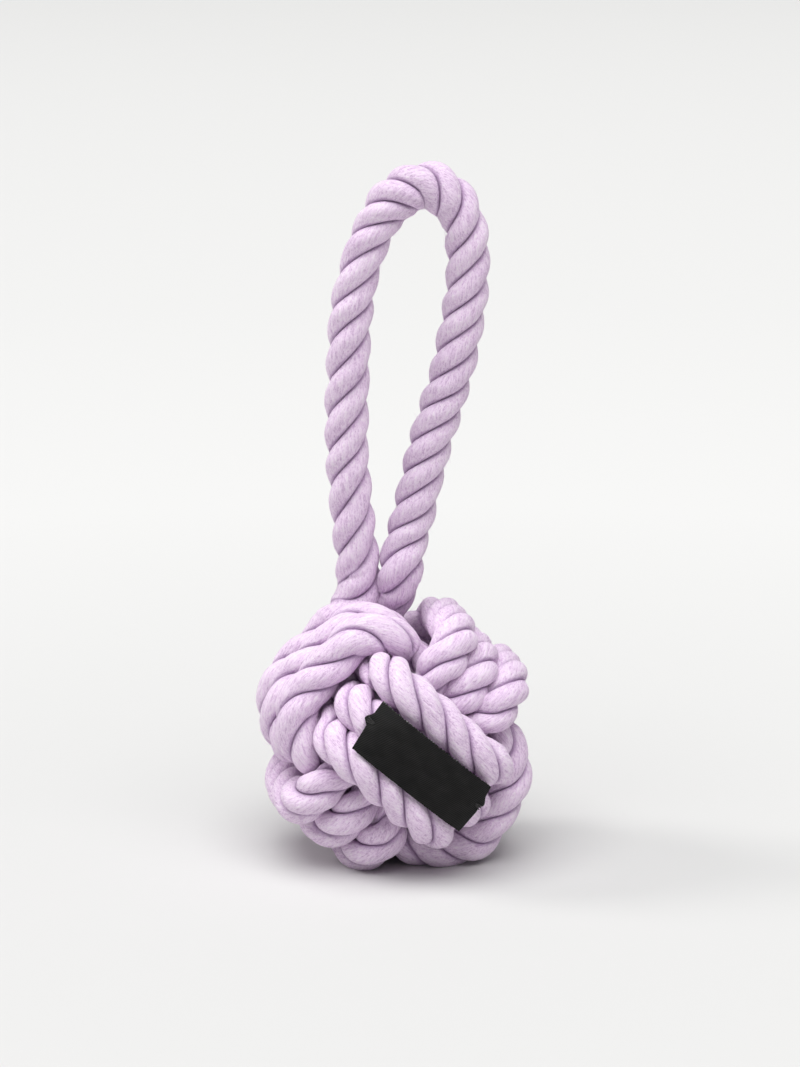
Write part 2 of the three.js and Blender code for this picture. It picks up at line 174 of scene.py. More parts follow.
EDGE_RIPPLE, EDGE_RIPPLE_AT = (0.10, 0.52, 0.8), 8  # size, rate and start
CLOTH_RIPPLE = (0.06, 0.9, 0.5)  # size, rate along and rate across
COVER_DEPTH, COVER_ACROSS, COVER_ALONG = 4, 1.5, 2  # how near the label a fibre on the rope may not be
STITCH_TURNS, STITCH_POINTS, STITCH_RADIUS, STITCH_SIDES = 3, 17, 0.15, 8
WHIPPING_LENGTH, WHIPPING_RADIUS, WHIPPING_SIDES = 5, 0.34, 8

# Camera, floor and light
CAMERA_AIM, CAMERA_DISTANCE, CAMERA_RISE = (1.67, 0, 61.49), 1.0, math.radians(12)  # distance in metres
SENSOR, LENS, CLIP_END = 36, 111.35, 100
WORLD_LIGHT, WORLD_COLOUR = 0.16, (0.98, 0.99, 1, 1)
BACKDROP = (0.80, 0.80, 0.795, 1)
FLOOR_HALF, FLOOR_REACH = 20.0, 6.0  # metres
# The floor's colour by distance from the middle, as a share of FLOOR_REACH: painted shade right around the
# object, lightest about half a metre out, and painted light falloff that darkens it further away
FLOOR_PAINTED_FALLOFF = (
    (0.0, (0.63, 0.63, 0.625)),
    (0.04, (0.655, 0.655, 0.65)),
    (0.09, (0.690, 0.690, 0.685)),
    (0.20, (0.665, 0.665, 0.66)),
    (1.0, (0.590, 0.590, 0.585)),
)
LAMPS = (  # name, azimuth, elevation, level, spread and colour
    ("overhead", 12, 72, 0.97, 56, (1, 1, 1)),
    ("left", 100, 36, 0.30, 20, (1, 0.99, 0.97)),
    ("right", -45, 50, 0.14, 40, (1, 0.99, 0.98)),
)


def smooth(low, high, value):
    t = np.clip((np.asarray(value, float) - low) / (high - low), 0, 1)
    return t * t * (3 - 2 * t)


def unit(v):
    return v / np.linalg.norm(v, axis=-1, keepdims=True)


def lerp(a, b, t):
    return a + (b - a) * t


def bell(value, middle, spread):
    return np.exp(-((value - middle) ** 2) / (2 * spread**2))


def metres(point):
    return tuple((np.asarray(point, float) + BALL) / 1000)


def look_camera():
    aim = Vector(metres(CAMERA_AIM))
    data = bpy.data.cameras.new("camera")
    data.sensor_width = SENSOR
    data.lens = LENS
    data.clip_end = CLIP_END
    camera = bpy.data.objects.new("camera", data)
    bpy.context.collection.objects.link(camera)
    back = Vector((0, -math.cos(CAMERA_RISE), math.sin(CAMERA_RISE)))
    camera.location = aim + back * CAMERA_DISTANCE
    camera.rotation_euler = (-back).to_track_quat("-Z", "Y").to_euler()
    bpy.context.scene.camera = camera


def sun(name, azimuth, elevation, level, spread, colour):
    """A soft lamp; azimuth 0 is in front of the object and 90 to the left of it in the picture."""
    data = bpy.data.lights.new(name, "SUN")
    data.energy = level * math.pi
    data.angle = math.radians(spread)
    data.color = colour
    lamp = bpy.data.objects.new(name, data)
    bpy.context.collection.objects.link(lamp)
    a, e = math.radians(azimuth), math.radians(elevation)
    towards = Vector((-math.sin(a) * math.cos(e), -math.cos(a) * math.cos(e), math.sin(e)))
    lamp.rotation_euler = towards.to_track_quat("Z", "Y").to_euler()


# Shader nodes

def node(tree, kind, inputs=None, **settings):
    """A shader node; an input is a plain value, or a socket to link."""
    made = tree.nodes.new(kind)
    for key, value in settings.items():
        setattr(made, key, value)
    for key, value in (inputs or {}).items():
        if isinstance(value, bpy.types.NodeSocket):
            tree.links.new(value, made.inputs[key])
        else:
            made.inputs[key].default_value = value
    return made


def new_material(name):
    material = bpy.data.materials.new(name)
    material.use_nodes = True
    material.node_tree.nodes.clear()
    return material, material.node_tree


def grey(level):
    return (level,) * 3


def ramp(tree, factor, *stops):
    made = node(tree, "ShaderNodeValToRGB", {0: factor})
    points = made.color_ramp.elements
    while len(points) < len(stops):
        points.new(0.5)
    for point, (place, colour) in zip(points, stops):
        point.position = place
        point.color = (*colour, 1)
    return made.outputs["Color"]


def math_node(tree, operation, a, b=0.0):
    return node(tree, "ShaderNodeMath", {0: a, 1: b}, operation=operation).outputs[0]


def weighted(tree, *parts):
    """The sum of sockets, each times its weight."""
    total = None
    for socket, weight in parts:
        part = math_node(tree, "MULTIPLY", socket, weight)
        total = part if total is None else math_node(tree, "ADD", total, part)
    return total


def mean(tree, a, b):
    return math_node(tree, "MULTIPLY", math_node(tree, "ADD", a, b), 0.5)


def scaled(tree, vector, scale):
    return node(tree, "ShaderNodeVectorMath", {0: vector, 1: scale}, operation="MULTIPLY").outputs[0]


def noise(tree, vector, scale=1.0, detail=2.0, rough=0.5):
    values = {"Vector": vector, "Scale": scale, "Detail": detail, "Roughness": rough}
    return node(tree, "ShaderNodeTexNoise", values).outputs["Fac"]


def wave(tree, vector, scale, distortion=0.0, direction="X"):
    values = {"Vector": vector, "Scale": scale, "Distortion": distortion}
    return node(tree, "ShaderNodeTexWave", values, bands_direction=direction).outputs["Fac"]


def bumped(tree, height, strength, distance):
    values = {"Strength": strength, "Distance": distance, "Height": height}
    return node(tree, "ShaderNodeBump", values).outputs[0]


def attribute(tree, name):
    return node(tree, "ShaderNodeAttribute", attribute_name=name)


def surface(tree, values):
    shader = node(tree, "ShaderNodeBsdfPrincipled", values)
    node(tree, "ShaderNodeOutputMaterial", {"Surface": shader.outputs[0]})


def build_stage():
    scene = bpy.context.scene
    scene.view_settings.view_transform = "Standard"
    world = bpy.data.worlds.new("world")
    scene.world = world
    world.use_nodes = True
    tree = world.node_tree
    tree.nodes.clear()
    path = node(tree, "ShaderNodeLightPath")
    seen = math_node(tree, "MAXIMUM", path.outputs["Is Camera Ray"], path.outputs["Is Glossy Ray"])
    light = node(tree, "ShaderNodeBackground", {"Color": WORLD_COLOUR, "Strength": WORLD_LIGHT})
    pale = node(tree, "ShaderNodeBackground", {"Color": BACKDROP, "Strength": 1.0})
    mixed = node(tree, "ShaderNodeMixShader", {0: seen, 1: light.outputs[0], 2: pale.outputs[0]})
    node(tree, "ShaderNodeOutputWorld", {"Surface": mixed.outputs[0]})

    mesh = bpy.data.meshes.new("floor")
    corners = [(x * FLOOR_HALF, y * FLOOR_HALF, 0) for x, y in ((-1, -1), (1, -1), (1, 1), (-1, 1))]
    mesh.from_pydata(corners, [], [(0, 1, 2, 3)])
    floor = bpy.data.objects.new("floor", mesh)
    bpy.context.collection.objects.link(floor)
    material, tree = new_material("floor")
    where = node(tree, "ShaderNodeNewGeometry").outputs["Position"]
    reach = node(tree, "ShaderNodeVectorMath", {0: where}, operation="LENGTH").outputs["Value"]
    # painted light and shade: the floor's colour is darker right around the object and far away, by distance
    # from the middle
    colour = ramp(tree, math_node(tree, "DIVIDE", reach, FLOOR_REACH), *FLOOR_PAINTED_FALLOFF)
    shader = node(tree, "ShaderNodeBsdfDiffuse", {"Color": colour})
    node(tree, "ShaderNodeOutputMaterial", {"Surface": shader.outputs[0]})
    mesh.materials.append(material)

    for lamp in LAMPS:
        sun(*lamp)


look_camera()
build_stage()


# Materials

def rope_material():
    material, tree = new_material("cotton_rope")
    at = attribute(tree, "rope_at").outputs["Vector"]
    groove = attribute(tree, "groove").outputs["Fac"]
    fibre = noise(tree, scaled(tree, at, (0.42, 2.3, 2.3)), detail=3, rough=0.75)
    yarn = noise(tree, scaled(tree, at, (0.08, 1.1, 1.1)), detail=1)
    felt = noise(tree, scaled(tree, at, (1.7, 2.3, 2.3)), detail=3, rough=0.7)
    patch = noise(tree, scaled(tree, at, (0.05, 0.12, 0.12)), detail=1)
    colour = ramp(
        tree,
        weighted(tree, (fibre, 0.45), (yarn, 0.2), (felt, 0.25), (patch, 0.1)),
        (0.40, (0.66, 0.46, 0.69)),
        (0.50, (0.90, 0.710, 0.92)),
        (0.60, (0.985, 0.860, 0.99)),
    )
    # painted shade: towards a strand's crease the colour is mixed into a dark deep purple, standing in for
    # the shade that falls into the creases between strands
    deep = math_node(tree, "MULTIPLY", math_node(tree, "POWER", groove, 2.0), 0.55)
    shaded = node(
        tree,
        "ShaderNodeMix",
        {0: deep, 6: colour, 7: (0.36, 0.20, 0.42, 1)},
        data_type="RGBA",
    ).outputs[2]
    height = weighted(tree, (fibre, 0.9), (yarn, 0.6), (felt, 0.5))
    surface(tree, {
        "Base Color": shaded,
        "Roughness": ramp(tree, yarn, (0.3, grey(0.84)), (0.7, grey(0.97))),
        "Normal": bumped(tree, height, 0.9, 0.00055),
        "Sheen Weight": 0.25,
        "Sheen Roughness": 0.5,
        "Sheen Tint": (0.96, 0.88, 0.97, 1),
        "Specular IOR Level": 0.2,
    })
    return material


def label_material():
    material, tree = new_material("woven_label")
    at = attribute(tree, "cloth_at").outputs["Vector"]
    turn = (0, 0, math.radians(28))
    turned = node(tree, "ShaderNodeMapping", {"Vector": at, "Rotation": turn}).outputs[0]
    twill = wave(tree, turned, 0.55, 0.5)
    weft = wave(tree, at, 0.95, direction="Y")
    wear = noise(tree, scaled(tree, at, (0.18, 0.3, 0.3)), detail=3)
    weave = weighted(tree, (twill, 0.7), (weft, 0.3))
    colour = ramp(
        tree,
        weighted(tree, (weave, 0.6), (wear, 0.5)),
        (0.20, (0.0008, 0.0008, 0.0008)),
        (0.55, (0.004, 0.004, 0.004)),
        (0.90, (0.026, 0.025, 0.025)),
    )
    surface(tree, {
        "Base Color": colour,
        "Roughness": ramp(tree, wear, (0.3, grey(0.40)), (0.7, grey(0.58))),
        "Normal": bumped(tree, weave, 0.7, 0.00012),
        "Sheen Weight": 0.02,
        "Sheen Roughness": 0.4,
        "Specular IOR Level": 0.12,
    })
    return material


def thread_material(name, dark, pale):
    material, tree = new_material(name)
    at = attribute(tree, "rope_at").outputs["Vector"]
    ply = wave(tree, at, 0.55, 1.5)
    fuzz = noise(tree, scaled(tree, at, (1.5, 6, 6)), detail=2)
    tone = mean(tree, ply, fuzz)
    surface(tree, {
        "Base Color": ramp(tree, tone, (0.25, dark), (0.75, pale)),
        "Roughness": ramp(tree, fuzz, (0.3, grey(0.6)), (0.7, grey(0.8))),
        "Normal": bumped(tree, tone, 0.6, 0.0001),
        "Sheen Weight": 0.1,
    })
    return material


def felt_material():
    material, tree = new_material("core_wadding")
    where = node(tree, "ShaderNodeTexCoord").outputs["Object"]
    tuft = noise(tree, where, scale=420, detail=4, rough=0.65)
    clump = noise(tree, where, scale=90, detail=2)
    tone = mean(tree, tuft, clump)
    surface(tree, {
        "Base Color": ramp(tree, tone, (0.35, (0.50, 0.42, 0.52)), (0.65, (0.66, 0.58, 0.68))),
        "Roughness": ramp(tree, tuft, (0.3, grey(0.86)), (0.7, grey(0.98))),
        "Normal": bumped(tree, tone, 0.8, 0.0005),
        "Sheen Weight": 0.2,
    })
    return material


ROPE_LOOK = rope_material()
LABEL_LOOK = label_material()
BLACK_THREAD = thread_material("black_thread", (0.006, 0.006, 0.006), (0.022, 0.020, 0.021))
PALE_THREAD = thread_material("pale_thread", (0.45, 0.43, 0.45), (0.75, 0.73, 0.75))
CORE_LOOK = felt_material()


# Lines

def catmull(points, per_span=30):
    """A smooth open line through points, as the part's source draws it."""
    p = np.array(points, float)
    p = np.vstack([2 * p[0] - p[1], p, 2 * p[-1] - p[-2]])
    line = []
    for i in range(1, len(p) - 2):
        a, b, c, d = p[i - 1 : i + 3]
        t0, t1, t2 = (math.sqrt(np.linalg.norm(q)) for q in (b - a, c - b, d - c))
        m1 = ((b - a) / t0 - (c - a) / (t0 + t1) + (c - b) / t1) * t1
        m2 = ((c - b) / t1 - (d - b) / (t1 + t2) + (d - c) / t2) * t1
        u = (np.arange(per_span) / per_span)[:, None]
        square, cube = 3 * (c - b) - 2 * m1 - m2, 2 * (b - c) + m1 + m2
        line.append(b + m1 * u + square * u**2 + cube * u**3)
    return np.vstack([*line, p[-2:-1]])


def lengths(points):
    return np.concatenate([[0], np.cumsum(np.linalg.norm(np.diff(points, axis=0), axis=1))])


def at_lengths(points, along, *values):
    """Points and values of a line at chosen lengths along it."""
    s = lengths(points)
    place = np.column_stack([np.interp(along, s, points[:, i]) for i in range(3)])
    return (place, *(np.interp(along, s, v) for v in values))


def uneven_lengths(points, steps):
    """Lengths along a line, spaced by the step wanted at each of its points."""
    s = lengths(points)
    middle = (steps[1:] + steps[:-1]) / 2
    count = np.concatenate([[0], np.cumsum(np.diff(s) / middle)])
    return np.interp(np.linspace(0, count[-1], int(round(count[-1])) + 1), count, s)


def frames(points):
    """Tangents and two side directions that don't twist along the line."""
    tangent = unit(np.gradient(points, axis=0))
    side = np.zeros_like(points)
    start = np.cross([0.31, 0.82, 0.47], tangent[0])
    for i, t in enumerate(tangent):
        start = start - t * (start @ t)
        start = start / np.linalg.norm(start)
        side[i] = start
    return tangent, side, np.cross(tangent, side)


# The ball's bands, wound as in the part's source
cos_s, sin_s = math.cos(ROPE_SLOPE), math.sin(ROPE_SLOPE)
cos_t, sin_t = math.cos(FRONT_TURN), math.sin(FRONT_TURN)
AXIS_A = np.array([cos_s * cos_t, cos_s * sin_t, -sin_s])
AXIS_B = np.array([sin_s * cos_t, sin_s * sin_t, cos_s])
AXIS_C = np.cross(AXIS_A, AXIS_B)
RIGHT, UP = np.array([1.0, 0, 0]), np.array([0, 0, 1.0])
FRONT = (AXIS_C, AXIS_A, AXIS_B)  # each band's outer, inner and across directions
DOME = (AXIS_A, AXIS_B, AXIS_C)
SIDE = (AXIS_B, AXIS_C, AXIS_A)


def turn_outline(step=0.5):
    points = []

    def line(start, end):
        count = max(2, round(math.dist(start, end) / step))
        points.extend(lerp(np.array(start), np.array(end), i / count) for i in range(count))

    def arc(x, y, start):
        count = round(CORNER * math.pi / 2 / step)
        for i in range(count):
            angle = math.radians(start + 90 * i / count)
            points.append(np.array([x + CORNER * math.cos(angle), y + CORNER * math.sin(angle)]))

    line((0, PASS_REACH), (-PASS_REACH, PASS_REACH))
    arc(-PASS_REACH, INNER_PITCH, 90)
    line((-FACE_REACH, INNER_PITCH), (-FACE_REACH, -INNER_PITCH))
    arc(-PASS_REACH, -INNER_PITCH, 180)
    line((-PASS_REACH, -PASS_REACH), (PASS_REACH, -PASS_REACH))
    arc(PASS_REACH, -INNER_PITCH, 270)
    line((FACE_REACH, -INNER_PITCH), (FACE_REACH, INNER_PITCH))
    arc(PASS_REACH, INNER_PITCH, 0)
    line((PASS_REACH, PASS_REACH), (0, PASS_REACH))
    return np.array(points)


def settle(band, p):
    """Moves a band's points to where its rope has come to lie in the soft ball."""
    if band is FRONT:
        showing = smooth(*FRONT_SHOWING_SPAN, p @ AXIS_C)
        stretch = FRONT_STRETCH * showing * smooth(*FRONT_STRETCH_SPAN, p @ AXIS_A)
        return p + stretch[:, None] * AXIS_A
    if band is DOME:
        low = bell(p[:, 2], *LOWER_BULGE_Z_BELL)
        right = LOWER_BULGE * low * bell(p[:, 0], *LOWER_BULGE_X_BELL)
    else:
        right = UPPER_SHIFT * smooth(*UPPER_SHIFT_SPAN, p @ AXIS_B)
    return p + right[:, None] * RIGHT


def crowd(band, place, p):
    """The smaller shifts of single turns where the soft rope is pressed by its neighbours."""
    low, middle, high = (bell(place, turn, TURN_SPREAD)[:, None] for turn in (-1, 0, 1))
    x, z = p[:, :1], p[:, 2:]
    along_a, along_b, along_c = ((p @ axis)[:, None] for axis in (AXIS_A, AXIS_B, AXIS_C))
    if band is FRONT:
        low_along = FRONT_LOW_ALONG * smooth(*FRONT_LOW_SPAN, along_a)
        pressed = low * (FRONT_LOW_ACROSS * AXIS_B + low_along * AXIS_A)
        stretched = middle * FRONT_MIDDLE_ALONG * smooth(*FRONT_MIDDLE_SPAN, along_a) * AXIS_A
        return p + smooth(*FACE_SPAN, along_c) * (pressed + stretched)
    if band is DOME:
        face = smooth(*DOME_FACE_SPAN, along_a)
        p = p + high * DOME_HIGH_RIGHT * bell(z, *DOME_HIGH_BELL) * face * RIGHT
        p = p + DOME_FOOT_RIGHT * smooth(*DOME_FOOT_SPAN, z) * smooth(*DOME_FOOT_X_SPAN, x) * RIGHT
        edge = DOME_EDGE_RIGHT * bell(z, *DOME_EDGE_OUT_BELL) - DOME_EDGE_RIGHT * bell(z, *DOME_EDGE_IN_BELL)
        p = p + edge * smooth(*DOME_EDGE_X_SPAN, x) * RIGHT
        p = p - DOME_SAG * smooth(*DOME_SAG_SPAN, along_b) * face * UP
        shoulder = DOME_SHOULDER_RIGHT * bell(z, *DOME_SHOULDER_BELL)
        p = p + shoulder * smooth(*DOME_SHOULDER_X_SPAN, x) * RIGHT
        return p - low * DOME_ROOT_DIP * bell(x, *DOME_ROOT_X_BELL) * smooth(*DOME_ROOT_SPAN, z) * UP
    upper, lower = smooth(*FACE_SPAN, along_b), smooth(*LOWER_FACE_SPAN, along_b)
    press = low * SIDE_LOW_PRESS + middle * SIDE_MIDDLE_PRESS
    p = p + lower * press * (PRESS_RIGHT * RIGHT - PRESS_DOWN * UP)
    slide = low * SIDE_LOW_SLIDE * (RIGHT - UP) - middle * SIDE_MIDDLE_SINK * AXIS_B
    return p + upper * (slide - high * SIDE_HIGH_SLIDE * AXIS_A)


def diameter_at(outward):
    return lerp(SQUEEZED, ROPE, smooth(*SQUEEZE_SPAN, np.abs(outward)))


def band_points(band, place, outward, inward):
    outer, inner, across = band
    bow = np.cos(np.pi / 2 * np.minimum(1, np.abs(inward) / PASS_REACH)) ** 2
    bow = np.where(np.abs(outward) > PASS_REACH, bow, 0)
    crown = (FACE_CROWN + MIDDLE_CROWN * (1 - place**2)) * bow
    diameter = diameter_at(outward)
    moved = place - np.floor(place)
    spread = 1 + SHIFT_SPREAD * 4 * moved * (1 - moved)
    out = (outward + np.sign(outward) * crown)[:, None] * outer
    sideways = (place * (diameter + ROPE_GAP) * spread)[:, None] * across
    settled = settle(band, out + inward[:, None] * inner + sideways)
    return crowd(band, place, settled), diameter


def band_line(band, band_lay=BALL_LAY):
    """Points, diameters, wanted steps and lengths of lay of a band's three turns."""
    outline = turn_outline()
    outward, inward = outline.T
    covered = (inward > PASS_REACH - EDGE) & (np.abs(outward) < PASS_REACH)
    leaving = np.arange(len(outline)) < len(outline) / 2
    share = smooth(-SHIFT_REACH, SHIFT_REACH, -outward)
    rounds = []
    for turn in range(3):
        place = np.full(len(outline), turn - 1.0)
        place += np.where(covered, np.where(leaving, share - 1, share), 0)
        keep = np.ones(len(outline), bool)
        if turn == 0:
            keep &= ~(covered & leaving & (outward > -SHIFT_REACH))
        if turn == 2:
            keep &= ~(covered & ~leaving & (outward < SHIFT_REACH))
        points, diameter = band_points(band, place, outward, inward)
        step = lerp(COARSE_STEP, FINE_STEP, smooth(*FINE_SPAN, np.abs(outward)))
        opened = smooth(*DOME_LAY_SPAN, points @ AXIS_A) if band is DOME else 0 * outward
        lay = lerp(band_lay, DOME_LAY, opened)
        rounds.append([column[keep] for column in (points, diameter, step, lay)])
    return [np.concatenate(columns) for columns in zip(*rounds)]


def leg_diameter(p):
    """A leg's diameter: slack at the top of the left leg, fuller in the bend and at the neck."""
    slack = LEG_SLACK * bell(p[:, 2], *LEG_SLACK_BELL) * smooth(*LEG_SLACK_X_SPAN, p[:, 0])
    bend = BEND_SWELL * smooth(*BEND_SWELL_SPAN, p[:, 2])
    neck = NECK_SWELL * smooth(*NECK_SWELL_SPAN, p[:, 2])
    return ROPE * (1 - slack + bend + neck)


def tail_diameter(z):
    squeezed = lerp(SQUEEZED, ROPE, smooth(*TAIL_FULL_SPAN, z))
    return lerp(WHIPPED, squeezed, smooth(*TAIL_WHIPPED_SPAN, z))


def legs_line():
    """The dome band, the loop and the end inside the ball as one line, from the dome's covered end."""
    columns = band_line(DOME)
    showing = (columns[0] @ AXIS_A < -PASS_REACH) & (columns[0] @ AXIS_B < INNER_PITCH + EDGE)
    first = int(np.argmax(showing))
    points, diameter, step, lay = (column[first:] for column in columns)
    loop, tail = catmull(LOOP_ROUTE), catmull(TAIL_ROUTE)
    for leg in (loop, tail):
        left, near = leg[:, 0] < LEG_SIDE, bell(leg[:, 2], *NECK_BELL)
        leg[:, 0] += near * np.where(left, LEFT_IN, -RIGHT_IN)
        leg[:, 1] += near * np.where(left, LEFT_BACK, -RIGHT_FORWARD)
        leg[:, 2] -= BEND_SINK * smooth(*BEND_SINK_SPAN, leg[:, 2])
    top, entry = loop[0], points[0]
    down = -unit(loop[1] - loop[0])
    corners = [top, top + down * ROOT_REACH_LEG, entry + AXIS_B * ROOT_REACH_BAND, entry]
    u = np.linspace(0, 1, ROOT_POINTS)[1:-1, None]
    root = corners[0] * (1 - u) ** 3 + 3 * corners[1] * u * (1 - u) ** 2
    root = root + 3 * corners[2] * u**2 * (1 - u) + corners[3] * u**3
    line = np.vstack([points[::-1], root[::-1], loop, tail[1:]])
    wide = np.concatenate(
        [diameter[::-1], leg_diameter(root)[::-1], leg_diameter(loop), tail_diameter(tail[1:, 2])]
    )
    free = line[len(points) :]
    leg_lay = np.where(np.arange(len(free)) < np.argmax(free[:, 2]), LEFT_LAY, RIGHT_LAY)
    leg_lay = lerp(leg_lay, BEND_LAY, smooth(*BEND_LAY_SPAN, free[:, 2]))
    fine = np.full(len(free), FINE_STEP)
    return line, wide, np.concatenate([step[::-1], fine]), np.concatenate([lay[::-1], leg_lay])


# Rope meshes

HALF_PROFILE = np.radians([0, 9, 18, 26.5, 34.5, 41.5, 47.5, 52.5, 56.5, 59.0])
PROFILE_ANGLES = np.concatenate([[-HALF_STRAND], -HALF_PROFILE[:0:-1], HALF_PROFILE])


def profile_radius(angle, strand):
    """A strand's outline as a share of the crest, with a narrow crease where strands meet."""
    a, out = np.abs(angle), 1 - strand
    share = out * np.cos(a) + np.sqrt(strand**2 - (out * np.sin(a)) ** 2)
    return share - CREASE_DEPTH * smooth(CREASE_FROM, HALF_STRAND, a)


def wander(along, seed, *waves):
    """A slow uneven swing along a rope, from a few sines."""
    own = random.Random(seed)
    return sum(size * np.sin(2 * np.pi * along / wave + own.uniform(0, 6.28)) for size, wave in waves)


def under_label(p):
    """Whether a point of the rope is below the label, or so close that a fibre would reach through."""
    deep = p @ AXIS_C > PASS_REACH - COVER_DEPTH
    across = abs(p @ AXIS_B) - LABEL_WIDTH / 2 < COVER_ACROSS
    return deep and across and abs(p @ AXIS_A) < LABEL_LENGTH / 2 + COVER_ALONG


class Rope:
    """A three-strand rope along a line, as rings of points that turn with the strands."""

    def __init__(self, line, diameter, step, lay, start, seed, strand):
        self.along = uneven_lengths(line, step)
        self.middle, diameter, self.step, lay = at_lengths(line, self.along, diameter, step, lay)
        self.tangent, side, other = frames(self.middle)
        self.seed = seed
        turns = np.concatenate([[0], np.cumsum(np.diff(self.along) / lay[1:])])
        phase = start + 2 * np.pi * turns + wander(self.along, seed, *PHASE_WAVES)
        crest = diameter / 2 * CREST
        bend = np.gradient(self.tangent, axis=0) / np.gradient(self.along)[:, None] * crest[:, None]
        rings, coordinates, groove = [], [], []
        for k in range(3):
            thick = 1 + wander(self.along, seed * 7 + k, *THICK_WAVES)
            for angle in PROFILE_ANGLES:
                turned = phase + 2 * np.pi * k / 3 + angle
                off_crest = abs(angle) / HALF_STRAND
                fade = 1 - smooth(*THICK_FADE_SPAN, off_crest)
                out = np.cos(turned)[:, None] * side + np.sin(turned)[:, None] * other
                flat = INNER_FLAT * smooth(*INNER_FLAT_SPAN, np.sum(out * bend, axis=1))
                share = profile_radius(angle, strand) * (1 + (thick - 1) * fade)
                radius = crest * lerp(share, FLAT_RADIUS, flat)
                y, z = radius * np.cos(turned), radius * np.sin(turned)
                x = self.along + STRAND_OFFSET * k + ROPE_OFFSET * seed
                rings.append(self.middle + radius[:, None] * out)
                coordinates.append(np.column_stack([x, y, z]))
                # groove runs from 0 on a strand's crest to 1 in its crease; rope_material paints crease
                # shade from it, and hairs() keeps fibres out of the creases
                groove.append(np.full(len(y), smooth(*GROOVE_SPAN, off_crest)))
        self.rings = np.stack(rings, axis=1)
        self.coordinates = np.stack(coordinates, axis=1)
        self.groove = np.stack(groove, axis=1)
        around = np.roll(self.rings, -1, axis=1) - np.roll(self.rings, 1, axis=1)
        self.normals = unit(np.cross(around, np.gradient(self.rings, axis=0)))

    def hairs(self, first, last, shape):
        """Loose fibres that lie along the rope and stand off a little."""
        own = random.Random(self.seed * 100 + first)
        sides = self.rings.shape[1]
        share = HAIR_SHARES[:, None]
        for i in range(first + 2, last - 2):
            if self.step[i] > HAIR_STEP_LIMIT:
                continue
            tangent = self.tangent[i]
            for _ in range(int(HAIRS_PER_RING + own.random())):
                j = own.randrange(sides)
                foot = self.rings[i, j]
                on_floor = foot[2] + BALL[2] < HAIR_FLOOR_LIMIT
                if self.groove[i, j] > HAIR_GROOVE_LIMIT or on_floor or under_label(foot):
                    continue
                out = unit(foot - self.middle[i])
                around = np.cross(tangent, out)
                lean = own.choice((-1, 1)) * own.uniform(*HAIR_LEAN)
                heading = tangent * lean + out * own.uniform(*HAIR_RISE)
                heading = heading + around * own.gauss(0, HAIR_STRAY)
                curl = out * own.uniform(*HAIR_CURL) + around * own.gauss(0, CURL_STRAY)
                size = own.uniform(*HAIR_LENGTH)
                thick = own.uniform(*HAIR_RADIUS)
                if own.random() < LONG_HAIRS:
                    heading = tangent * lean + around * own.gauss(0, LONG_STRAY)
                    curl = out * LONG_CURL
                    size, thick = own.uniform(*LONG_LENGTH), own.uniform(*LONG_RADIUS)
                spine = foot - out * HAIR_ROOT + unit(heading) * size * share
                spine = spine + curl * size * share**2
                points, faces = tube(spine, thick * (1 - HAIR_TAPER * HAIR_SHARES), HAIR_SIDES)
                shape.add(points, faces, np.tile(self.coordinates[i, j], (len(points), 1)))

    def piece(self, name, first, last):
        """The mesh of rings first to last, closed at both ends, with its loose fibres."""
        sides = self.rings.shape[1]
        rows = slice(first, last + 1)
        points = self.rings[rows].reshape(-1, 3).copy()
        points[:, 2] = np.maximum(points[:, 2], -BALL[2])
        shape = Shape()
        sheath = ring_faces(last - first + 1, sides)
        shape.add(points, sheath, self.coordinates[rows].reshape(-1, 3), self.groove[rows].reshape(-1))
        normals = self.normals[rows].reshape(-1, 3)
        for ring, lean in ((first, -1), (last, 1)):
            start = (ring - first) * sides
            fan = [(start + j, start + (j + 1) % sides, len(shape.points)) for j in range(sides)]
            fan = [face if lean > 0 else face[::-1] for face in fan]
            shape.add_cap(self.middle[ring], self.coordinates[ring, 0], fan)
        self.hairs(first, last, shape)
        made = new_piece(name, shape, ROPE_LOOK)
        free = np.zeros((len(shape.points) - len(normals), 3))
        made.data.normals_split_custom_set_from_vertices(np.vstack([normals, free]).tolist())
        return made


class Shape:
    """Points, faces and surface coordinates of one piece while it is put together."""

    def __init__(self):
        self.points, self.coordinates, self.groove = [], [], []
        self.faces, self.flat = [], []

    def add(self, points, faces, coordinates, groove=None):
        offset = len(self.points)
        self.points.extend(map(tuple, points))
        self.coordinates.extend(map(tuple, coordinates))
        self.groove.extend([0.0] * len(points) if groove is None else groove)
        self.faces.extend(tuple(v + offset for v in face) for face in faces)

    def add_flat(self, faces):
        self.flat.extend(range(len(self.faces), len(self.faces) + len(faces)))
        self.faces.extend(faces)

    def add_cap(self, point, coordinate, faces):
        self.points.append(tuple(point))
        self.coordinates.append(tuple(coordinate))
        # the cap's middle point takes the full painted crease shade
        self.groove.append(1.0)
        self.add_flat(faces)


def ring_faces(count, sides, closed=True):
    span = sides if closed else sides - 1
    return [
        (i * sides + j, i * sides + (j + 1) % sides, (i + 1) * sides + (j + 1) % sides, (i + 1) * sides + j)
        for i in range(count - 1)
        for j in range(span)
    ]


def tube(spine, radius, sides):
    """A closed round tube along a line."""
    _, side, other = frames(spine)
    angle = 2 * np.pi * np.arange(sides) / sides
    ring = np.cos(angle)[None, :, None] * side[:, None] + np.sin(angle)[None, :, None] * other[:, None]
    points = spine[:, None] + ring * np.asarray(radius, float).reshape(-1, 1, 1)
    faces = ring_faces(len(spine), sides)
    last = (len(spine) - 1) * sides
    faces.append(tuple(range(sides))[::-1])
    faces.append(tuple(range(last, last + sides)))
    return points.reshape(-1, 3), faces


